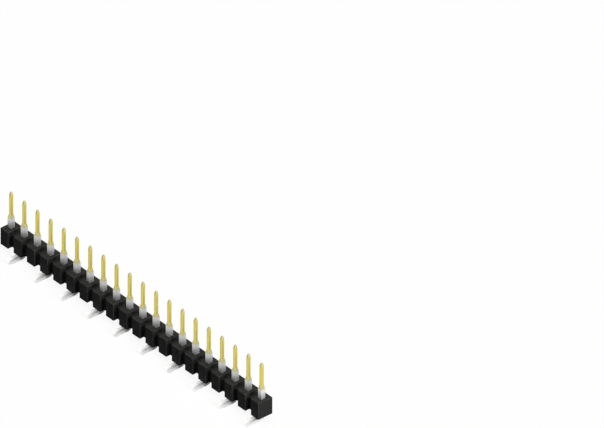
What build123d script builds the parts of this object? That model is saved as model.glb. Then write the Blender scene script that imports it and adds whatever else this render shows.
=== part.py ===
# Single-row surface-mount pin header: a moulded strip of linked blocks that holds a row of bent square pins.
# +X runs along the row, +Y across it and +Z up. Z = 0 is the board that the legs stand on.

from build123d import *
from math import atan, degrees
import os

# The row
pin_count = 20
pitch = 2.54

# Moulded strip
strip_width = 2.28
strip_height = 2.42
block_length = 1.50
corner_chamfer = 0.05
rim_chamfer = 0.03
web_width = 1.06
web_top_drop = 0.55
web_underside_rise = 0.10
leg_clearance = 0.04

# Pins, bent from square wire
wire = 0.64
inside_bend = 0.25
leg_reach = 2.70
leg_end_chamfer = 0.10
neck_height = 1.95
neck_length = 0.55
neck_margin = 0.005
contact_diameter = 0.54
contact_height = 5.26
nose_length = 0.60
nose_flat = 0.20

# Fit of a pin in its hole, and the room round its bend
hole_clearance = 0.01
bend_clearance = 0.05

# Places worked out from the sizes above
strip_bottom = wire + leg_clearance
strip_top = strip_bottom + strip_height
strip_middle = (strip_bottom + strip_top) / 2
first_pin_x = -pitch * (pin_count - 1) / 2
neck_top = strip_top + neck_height
square_top = neck_top - neck_length
tip_top = strip_top + contact_height
bend_top = wire + inside_bend


def pin_x(index):
    """Place of a pin along the row, counted from 0."""
    return first_pin_x + index * pitch


def leg_side(index):
    """Side that a leg points to: the pins take turns, the first to +Y."""
    return 1 if index % 2 == 0 else -1


def strip_block():
    """One block of the strip, with bevelled rims and upright corners, centred on the Z axis."""
    block = Pos(0, 0, strip_middle) * Box(block_length, strip_width, strip_height)
    block = chamfer(block.edges().filter_by(Axis.Z), corner_chamfer)
    rims = block.faces().sort_by(Axis.Z)[0].edges() + block.faces().sort_by(Axis.Z)[-1].edges()
    return chamfer(rims, rim_chamfer)


def strip_web():
    """The thinner bridge that links one block to the next."""
    height = strip_height - web_top_drop - web_underside_rise
    middle = strip_bottom + web_underside_rise + height / 2
    length = pitch - block_length + 2 * corner_chamfer
    return Pos(pitch / 2, 0, middle) * Box(length, web_width, height)


def pin_passage(side):
    """Square hole for a pin, with the pocket under the block that its bend needs."""
    hole = wire + 2 * hole_clearance
    passage = Pos(0, 0, strip_middle) * Box(hole, hole, strip_height)
    pocket_width = wire + 2 * bend_clearance
    pocket_length = wire + inside_bend + 2 * bend_clearance
    pocket_height = bend_top + bend_clearance - strip_bottom
    pocket_place = Pos(0, side * inside_bend / 2, strip_bottom + pocket_height / 2)
    return passage + pocket_place * Box(pocket_width, pocket_length, pocket_height)


def make_housing():
    """The whole strip: blocks, the webs between them, and the passages for the pins."""
    block = strip_block()
    web = strip_web()
    body = Part() + [Pos(pin_x(index), 0, 0) * block for index in range(pin_count)]
    body += [Pos(pin_x(index), 0, 0) * web for index in range(pin_count - 1)]
    body -= [Pos(pin_x(index), 0, 0) * pin_passage(leg_side(index)) for index in range(pin_count)]
    return body


def bent_wire():
    """Leg, bend and upright shank, drawn from the side and made as wide as the wire, leg to +Y."""
    half = wire / 2
    outside_bend = inside_bend + wire
    with BuildSketch(Plane.YZ) as side_view:
        with BuildLine():
            Line((-half, square_top), (-half, outside_bend))
            JernArc((-half, outside_bend), (0, -1), outside_bend, 90)
            Line((-half + outside_bend, 0), (leg_reach, 0))
            Line((leg_reach, 0), (leg_reach, wire))
            Line((leg_reach, wire), (half + inside_bend, wire))
            JernArc((half + inside_bend, wire), (-1, 0), inside_bend, -90)
            Line((half, bend_top), (half, square_top))
            Line((half, square_top), (-half, square_top))
        make_face()
    body = extrude(side_view.sketch, amount=half, both=True)
    leg_rim = body.faces().sort_by(Axis.Y)[-1].edges()
    return chamfer(leg_rim, leg_end_chamfer)


def tapered_square(side, top_side):
    """Square frustum over the height of the neck, centred on the Z axis."""
    taper = degrees(atan((side - top_side) / 2 / neck_length))
    return extrude(Pos(0, 0, square_top) * Rectangle(side, side), amount=neck_length, taper=taper)


def neck():
    """Eight-sided neck that leads from the square shank to the round contact."""
    top_side = contact_diameter + 2 * neck_margin
    across_corners = wire * 2 ** 0.5
    return tapered_square(wire, top_side) & Rot(0, 0, 45) * tapered_square(across_corners, top_side)


def contact():
    """Round contact with a tapered nose, standing on the neck."""
    radius = contact_diameter / 2
    nose_start = tip_top - nose_length
    with BuildSketch(Plane.XZ) as half_section:
        with BuildLine():
            Line((0, neck_top), (radius, neck_top))
            Line((radius, neck_top), (radius, nose_start))
            TangentArc((radius, nose_start), (nose_flat / 2, tip_top), tangent=(0, 1))
            Line((nose_flat / 2, tip_top), (0, tip_top))
            Line((0, tip_top), (0, neck_top))
        make_face()
    return revolve(half_section.sketch, Axis.Z)


def make_pin():
    """One whole pin on the Z axis, its leg to +Y."""
    return bent_wire() + neck() + contact()


def main():
    os.makedirs("parts", exist_ok=True)
    export_step(make_housing(), "parts/housing.step")
    pin = make_pin()
    for index in range(pin_count):
        turn = 0 if leg_side(index) > 0 else 180
        placed = Pos(pin_x(index), 0, 0) * Rot(0, 0, turn) * pin
        export_step(placed, f"parts/pin_{index + 1:02d}.step")


main()
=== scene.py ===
# Looks of the pin header: moulded black strip, gold contacts, tin shanks and legs, and a pale studio.
# Lengths are in metres, as in the frame. The row runs along X, and Z = 0 is the board under the legs.

import math

import bpy
from mathutils import Matrix, Vector


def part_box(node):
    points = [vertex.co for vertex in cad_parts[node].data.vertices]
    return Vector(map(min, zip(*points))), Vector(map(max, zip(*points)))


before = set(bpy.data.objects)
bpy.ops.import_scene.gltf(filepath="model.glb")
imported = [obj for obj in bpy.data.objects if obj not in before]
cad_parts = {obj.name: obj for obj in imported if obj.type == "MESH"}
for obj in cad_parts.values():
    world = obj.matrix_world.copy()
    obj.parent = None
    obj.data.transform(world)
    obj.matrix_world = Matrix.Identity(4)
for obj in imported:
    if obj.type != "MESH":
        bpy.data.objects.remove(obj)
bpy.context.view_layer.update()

# Camera: a parallel view, at the photograph's angle and framing
view_azimuth = math.radians(50.15)
view_elevation = math.radians(34.75)
picture_width = 604
picture_height = 428
pixels_per_metre = 8100
origin_column = 135.9
origin_row = 332.6
camera_distance = 0.4
nearest_seen = 0.01
farthest_seen = 10

# Light: a low lamp beyond the far end of the row, a soft one overhead, and a pale surround
side_azimuth = math.radians(0)
side_elevation = math.radians(28)
side_energy = 2.55
side_angle = math.radians(30)
top_energy = 1.75
top_angle = math.radians(50)
surround_on_matt = 0.01
surround_seen = 1.0
floor_half = 2.0
floor_glow = 1.0
floor_seen_glow = 0.90
floor_albedo_seen = 0.95
floor_albedo_bounced = 0.12

# Faces: how much one points along an axis, if it is a bevel or flat, and slanting or square-on
bevel_facing = 0.80
flat_facing = 0.98
slanting_facing = 0.5
square_facing = 0.9

# Noise: about the lowest and highest values of a cloudy pattern
noise_low = 0.3
noise_high = 0.7

# Plastic: its black, the paler black of rubbed edges, which is also a painted highlight, and its
# gloss
black_low = (0.026, 0.026, 0.0255, 1)
black_high = (0.040, 0.040, 0.0395, 1)
rubbed_highlit_black = (0.085, 0.085, 0.083, 1)
plastic_roughness = (0.55, 0.68)
rubbed_roughness = 0.42
plastic_gloss = 0.02

# Plastic's patterns: scale and detail of the grain, the clouds in the gloss and the patches of rubbed
# edges with their painted highlight
grain_pattern = (9000.0, 4.0)
gloss_pattern = (900.0, 2.0)
patch_pattern = (1500.0, 3.0)
patch_start = 0.42
patch_full = 0.60
least_rubbed_highlit = 0.15
grain_strength = 0.15
grain_depth = 0.00002

# Tin: brightness and how metallic it is. The shank's foot is painted darker, as it looks in the
# photograph:
# a painted reflection of the black strip. Its broad faces carry painted shade, and the legs' sides
# are hardly metallic, or they would mirror the white floor
foot_reflection_end = 0.0006
foot_reflection_fade = 0.0014
reflected_foot_tone = 0.57
shank_tone = 0.85
# Painted shade on the shank's broad faces
broad_face_shade = 0.86
shank_roughness = 0.55
leg_brightness = 0.97
leg_roughness = 0.62
leg_side_metallic = 0.15
leg_top_metallic = 1.0
leg_end_metallic = 1.0
tin_unevenness = 0.05

# Dark band along one upper edge of each leg, strongest where it leaves the strip:
# painted, cause unknown
band_from_axis = 0.00002
band_to_edge = 0.00030
band_bottom = 0.00028
band_top = 0.00060
band_reach = 0.0017
band_depth = 0.72

# Gold: it starts over this stretch above the strip, with a band of painted shade where the tin
# changes to gold, and thins at the nose
gold_low = 0.00098
gold_high = 0.00208
neck_shade_middle = 0.00165
neck_shade_reach = 0.00045
neck_shade_strength = 0.7
shaded_neck_gold = (0.50, 0.455, 0.23, 1)
gold_pale = (0.73, 0.63, 0.165, 1)
gold_deep = (0.67, 0.575, 0.145, 1)
gold_roughness = (0.40, 0.50)
nose_wear_length = 0.0008
nose_gold = (0.44, 0.40, 0.22, 1)
nose_roughness = 0.70

# Metal's patterns: scale and detail of the drawn lines and the clouds, and how long the lines run
line_pattern = (14000.0, 3.0)
cloud_pattern = (2500.0, 3.0)
line_squeeze = 0.05
line_tone = (0.96, 1.03)
line_strength = 0.1
line_depth = 0.00001

# Sockets of a mix node for each kind of value: the first, the second and the result
mix_sockets = {"FLOAT": (2, 3, 0), "VECTOR": (4, 5, 1), "RGBA": (6, 7, 2)}

strip_low, strip_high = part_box("housing")
strip_bottom = strip_low.z
strip_top = strip_high.z
pin_names = sorted(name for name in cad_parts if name.startswith("pin_"))
pin_boxes = [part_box(name) for name in pin_names]
pin_middles = [(low.x + high.x) / 2 for low, high in pin_boxes]
pitch = pin_middles[1] - pin_middles[0]
nose_top = pin_boxes[0][1].z


def new_material(name):
    """An empty node material: its tree, and its shader."""
    material = bpy.data.materials.new(name)
    material.use_nodes = True
    tree = material.node_tree
    shader = tree.nodes["Principled BSDF"]
    return material, tree, shader


def feed(tree, socket, value):
    """Gives a socket a fixed value, or the output of another node."""
    if isinstance(value, bpy.types.NodeSocket):
        tree.links.new(value, socket)
    else:
        socket.default_value = value


def add(tree, kind, inputs, **properties):
    """A node with its properties set, and its inputs fixed or linked."""
    node = tree.nodes.new(kind)
    for key, value in properties.items():
        setattr(node, key, value)
    for key, value in inputs.items():
        feed(tree, node.inputs[key], value)
    return node


def calculate(tree, operation, first, second=0.0):
    """The result of a sum, a product or the like on one or two values."""
    return add(tree, "ShaderNodeMath", {0: first, 1: second}, operation=operation).outputs[0]


def spread(tree, source, low, high, low_out, high_out, kind="LINEAR"):
    """A value taken from one range to another, and held at its ends."""
    from_range = {"Value": source, "From Min": low, "From Max": high}
    to_range = {"To Min": low_out, "To Max": high_out}
    node = add(tree, "ShaderNodeMapRange", from_range | to_range, interpolation_type=kind)
    return node.outputs["Result"]


def mix(tree, kind, share, first, second):
    """A number, direction or colour that goes from the first to the second with the share."""
    first_socket, second_socket, result = mix_sockets[kind]
    inputs = {0: share, first_socket: first, second_socket: second}
    return add(tree, "ShaderNodeMix", inputs, data_type=kind).outputs[result]


def between(tree, share, first, second):
    """A number that goes from the first to the second with the share."""
    return mix(tree, "FLOAT", share, first, second)


def blend(tree, share, first, second):
    """A colour that goes from the first to the second with the share."""
    return mix(tree, "RGBA", share, first, second)


def noise(tree, place, pattern):
    """Cloudy noise over a place, with the pattern's scale and detail."""
    scale, detail = pattern
    inputs = {"Vector": place, "Scale": scale, "Detail": detail}
    return add(tree, "ShaderNodeTexNoise", inputs).outputs["Fac"]


def follow(tree, clouds, low_out, high_out):
    """A value that follows a noise between two limits."""
    return spread(tree, clouds, noise_low, noise_high, low_out, high_out)


def split(tree, vector):
    """The parts of a place or direction along the axes."""
    return add(tree, "ShaderNodeSeparateXYZ", {"Vector": vector}).outputs


def bevel_share(tree, normal):
    """1 on the slanting faces of bevelled edges, and 0 on the upright and level ones."""
    parts = split(tree, normal)
    sizes = [calculate(tree, "ABSOLUTE", parts[axis]) for axis in ("X", "Y", "Z")]
    larger = calculate(tree, "MAXIMUM", sizes[0], sizes[1])
    largest = calculate(tree, "MAXIMUM", larger, sizes[2])
    return spread(tree, largest, bevel_facing, flat_facing, 1.0, 0.0)


def moulded_plastic():
    """Black moulded plastic, matt, with a fine speckled grain and unevenly rubbed edges that also
    carry a painted highlight.
    """
    material, tree, shader = new_material("moulded_black")
    coordinates = add(tree, "ShaderNodeTexCoord", {})
    place = coordinates.outputs["Object"]
    grain = noise(tree, place, grain_pattern)
    clouds = noise(tree, place, gloss_pattern)
    speckled = blend(tree, follow(tree, grain, 0.0, 1.0), black_low, black_high)
    patch = noise(tree, place, patch_pattern)
    patches = spread(tree, patch, patch_start, patch_full, least_rubbed_highlit, 1.0)
    bevels = bevel_share(tree, coordinates.outputs["Normal"])
    # Rubbed edges, partly a painted highlight: the bevels are paler in uneven patches
    rubbed_and_highlit = calculate(tree, "MULTIPLY", bevels, patches)
    feed(tree, shader.inputs["Base Color"], blend(tree, rubbed_and_highlit, speckled, rubbed_highlit_black))
    moulded_roughness = follow(tree, clouds, *plastic_roughness)
    roughness = between(tree, rubbed_and_highlit, moulded_roughness, rubbed_roughness)
    feed(tree, shader.inputs["Roughness"], roughness)
    feed(tree, shader.inputs["Specular IOR Level"], plastic_gloss)
    bump = {"Height": grain, "Strength": grain_strength, "Distance": grain_depth}
    feed(tree, shader.inputs["Normal"], add(tree, "ShaderNodeBump", bump).outputs["Normal"])
    return material


def drawn_lines(tree, place, leg_share):
    """Fine lines along the wire, upright on the contact and level on the leg."""
    along = mix(tree, "VECTOR", leg_share, (1, 1, line_squeeze), (1, line_squeeze, 1))
    stretched = add(tree, "ShaderNodeVectorMath", {0: place, 1: along}, operation="MULTIPLY")
    return noise(tree, stretched.outputs[0], line_pattern)


def leg_tone(tree, place):
    """Tone of the leg: 1 over most of it, and lower in the dark band along one upper edge."""
    parts = split(tree, place)
    along = calculate(tree, "SUBTRACT", parts["X"], pin_middles[0] - pitch / 2)
    within = calculate(tree, "FLOORED_MODULO", along, pitch)
    beside = calculate(tree, "SUBTRACT", within, pitch / 2)
    turned = calculate(tree, "MULTIPLY", beside, calculate(tree, "SIGN", parts["Y"]))
    aside = spread(tree, turned, -band_from_axis, -band_to_edge, 0.0, 1.0)
    outward = calculate(tree, "ABSOLUTE", parts["Y"])
    near = spread(tree, outward, strip_high.y, strip_high.y + band_reach, 1.0, 0.0)
    upper = spread(tree, parts["Z"], band_bottom, band_top, 0.0, 1.0)
    share = calculate(tree, "MULTIPLY", calculate(tree, "MULTIPLY", aside, near), upper)
    return spread(tree, share, 0.0, 1.0, 1.0, 1.0 - band_depth)


def tin_tone(tree, place, height, leg_share, broad_face):
    """Brightness of the tin: the shank's rises with the height, over a painted reflection of the
    black strip at its foot, its broad faces carry painted shade, and the leg has its dark band.
    """
    # Painted reflection of the black strip: the shank is darker at its foot
    foot_reflection_top = strip_top + foot_reflection_end
    reflection_gone_bottom = strip_top + foot_reflection_fade
    shank = spread(tree, height, foot_reflection_top, reflection_gone_bottom, reflected_foot_tone, shank_tone)
    # Painted shade: the shank's broad faces are darker
    painted_face_shade = between(tree, broad_face, 1.0, broad_face_shade)
    toned = calculate(tree, "MULTIPLY", shank, painted_face_shade)
    leg = calculate(tree, "MULTIPLY", leg_tone(tree, place), leg_brightness)
    return between(tree, leg_share, toned, leg)


def plated_metal():
    """Gold on the contact, tin on the shank and leg, with a soft change between them and painted
    shade on that change.
    """
    material, tree, shader = new_material("plated_wire")
    coordinates = add(tree, "ShaderNodeTexCoord", {})
    place = coordinates.outputs["Object"]
    height = split(tree, place)["Z"]
    facing = split(tree, coordinates.outputs["Normal"])
    leg_share = spread(tree, height, strip_bottom, strip_top, 1.0, 0.0, "SMOOTHSTEP")
    nose_start = nose_top - nose_wear_length
    nose_share = spread(tree, height, nose_start, nose_top, 0.0, 1.0, "SMOOTHSTEP")
    lines = drawn_lines(tree, place, leg_share)
    clouds = noise(tree, place, cloud_pattern)

    gold_start = strip_top + gold_low
    gold_full = strip_top + gold_high
    gold_share = spread(tree, height, gold_start, gold_full, 0.0, 1.0, "SMOOTHSTEP")
    # Painted shade: a darker band in the gold where the tin changes to gold
    above_neck_shade = calculate(tree, "SUBTRACT", height, strip_top + neck_shade_middle)
    from_neck_shade = calculate(tree, "ABSOLUTE", above_neck_shade)
    neck_shade_share = spread(tree, from_neck_shade, 0.0, neck_shade_reach, neck_shade_strength, 0.0, "SMOOTHSTEP")

    toward_y = calculate(tree, "ABSOLUTE", facing["Y"])
    broad_face = spread(tree, toward_y, slanting_facing, square_facing, 0.0, 1.0)
    brightness = tin_tone(tree, place, height, leg_share, broad_face)
    streaked = calculate(tree, "MULTIPLY", brightness, follow(tree, lines, *line_tone))
    grey = {0: streaked, 1: streaked, 2: streaked}
    tin = add(tree, "ShaderNodeCombineColor", grey).outputs[0]
    gold = blend(tree, follow(tree, clouds, 0.0, 1.0), gold_deep, gold_pale)
    worn_gold = blend(tree, nose_share, gold, nose_gold)
    joined = blend(tree, neck_shade_share, blend(tree, gold_share, tin, worn_gold), shaded_neck_gold)
    feed(tree, shader.inputs["Base Color"], joined)

    upward = facing["Z"]
    tilt = (slanting_facing, square_facing)
    sides = spread(tree, upward, *tilt, leg_side_metallic, leg_top_metallic)
    leg_metallic = between(tree, broad_face, sides, leg_end_metallic)
    tin_metallic = between(tree, leg_share, 1.0, leg_metallic)
    metallic = calculate(tree, "MAXIMUM", tin_metallic, gold_share)
    feed(tree, shader.inputs["Metallic"], metallic)

    uneven = follow(tree, clouds, -tin_unevenness, tin_unevenness)
    plain_tin = between(tree, leg_share, shank_roughness, leg_roughness)
    tin_roughness = calculate(tree, "ADD", plain_tin, uneven)
    smooth_gold = follow(tree, lines, *gold_roughness)
    worn_roughness = between(tree, nose_share, smooth_gold, nose_roughness)
    roughness = between(tree, gold_share, tin_roughness, worn_roughness)
    feed(tree, shader.inputs["Roughness"], roughness)
    bump = {"Height": lines, "Strength": line_strength, "Distance": line_depth}
    feed(tree, shader.inputs["Normal"], add(tree, "ShaderNodeBump", bump).outputs["Normal"])
    return material


def seen_ray(tree):
    """1 for a ray that shows a surface, straight or in a reflection, and 0 for one that lights."""
    path = add(tree, "ShaderNodeLightPath", {}).outputs
    direct_or_glossy = calculate(tree, "MAXIMUM", path["Is Camera Ray"], path["Is Glossy Ray"])
    return calculate(tree, "MAXIMUM", direct_or_glossy, path["Is Transmission Ray"])


def plain_floor():
    """White floor that takes a faint shadow, and throws little light back up."""
    mesh = bpy.data.meshes.new("floor")
    signs = [(-1, -1), (1, -1), (1, 1), (-1, 1)]
    corners = [(x * floor_half, y * floor_half, 0) for x, y in signs]
    mesh.from_pydata(corners, [], [(0, 1, 2, 3)])
    floor = bpy.data.objects.new("floor", mesh)
    bpy.context.collection.objects.link(floor)
    material, tree, shader = new_material("floor_white")
    tree.nodes.remove(shader)
    seen = seen_ray(tree)
    albedo = spread(tree, seen, 0.0, 1.0, floor_albedo_bounced, floor_albedo_seen)
    matt = add(tree, "ShaderNodeBsdfDiffuse", {"Color": albedo})
    glow = add(tree, "ShaderNodeEmission", {"Strength": floor_glow})
    glow_share = spread(tree, seen, 0.0, 1.0, 0.0, floor_seen_glow)
    shaders = {0: glow_share, 1: matt.outputs[0], 2: glow.outputs[0]}
    surface = add(tree, "ShaderNodeMixShader", shaders)
    feed(tree, tree.nodes["Material Output"].inputs["Surface"], surface.outputs[0])
    mesh.materials.append(material)


def sun(name, energy, angle, turn):
    """A lamp far off, as wide as the angle, that shines straight down before its turn."""
    lamp = bpy.data.lights.new(name, "SUN")
    lamp.energy = energy
    lamp.angle = angle
    placed = bpy.data.objects.new(name, lamp)
    placed.rotation_euler = turn
    bpy.context.collection.objects.link(placed)


def studio():
    """A surround that is white where it is seen and weak where it lights, and the two lamps."""
    world = bpy.data.worlds.new("studio")
    bpy.context.scene.world = world
    world.use_nodes = True
    tree = world.node_tree
    background = tree.nodes["Background"]
    feed(tree, background.inputs["Color"], (1, 1, 1, 1))
    strength = spread(tree, seen_ray(tree), 0.0, 1.0, surround_on_matt, surround_seen)
    feed(tree, background.inputs["Strength"], strength)
    side_turn = (0, math.radians(90) - side_elevation, side_azimuth)
    sun("side", side_energy, side_angle, side_turn)
    sun("top", top_energy, top_angle, (0, 0, 0))


def camera():
    """Parallel camera whose picture holds the row where the photograph does."""
    data = bpy.data.cameras.new("camera")
    data.type = "ORTHO"
    data.ortho_scale = picture_width / pixels_per_metre
    data.clip_start = nearest_seen
    data.clip_end = farthest_seen
    right = Vector((math.cos(view_azimuth), math.sin(view_azimuth), 0))
    back = Vector((
        math.sin(view_azimuth) * math.cos(view_elevation),
        -math.cos(view_azimuth) * math.cos(view_elevation),
        math.sin(view_elevation),
    ))
    up = back.cross(right)
    across = ((picture_width - 1) / 2 - origin_column) / pixels_per_metre
    above = (origin_row - (picture_height - 1) / 2) / pixels_per_metre
    place = right * across + up * above + back * camera_distance
    turn = Matrix((right, up, back)).transposed()
    result = bpy.data.objects.new("camera", data)
    result.matrix_world = Matrix.Translation(place) @ turn.to_4x4()
    bpy.context.collection.objects.link(result)
    bpy.context.scene.camera = result


def paint(node, material):
    """Gives every slot of a solid the material."""
    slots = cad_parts[node].data.materials
    slots.clear()
    slots.append(material)


paint("housing", moulded_plastic())
metal = plated_metal()
for name in pin_names:
    paint(name, metal)
plain_floor()
studio()
camera()
bpy.context.scene.view_settings.view_transform = "Standard"
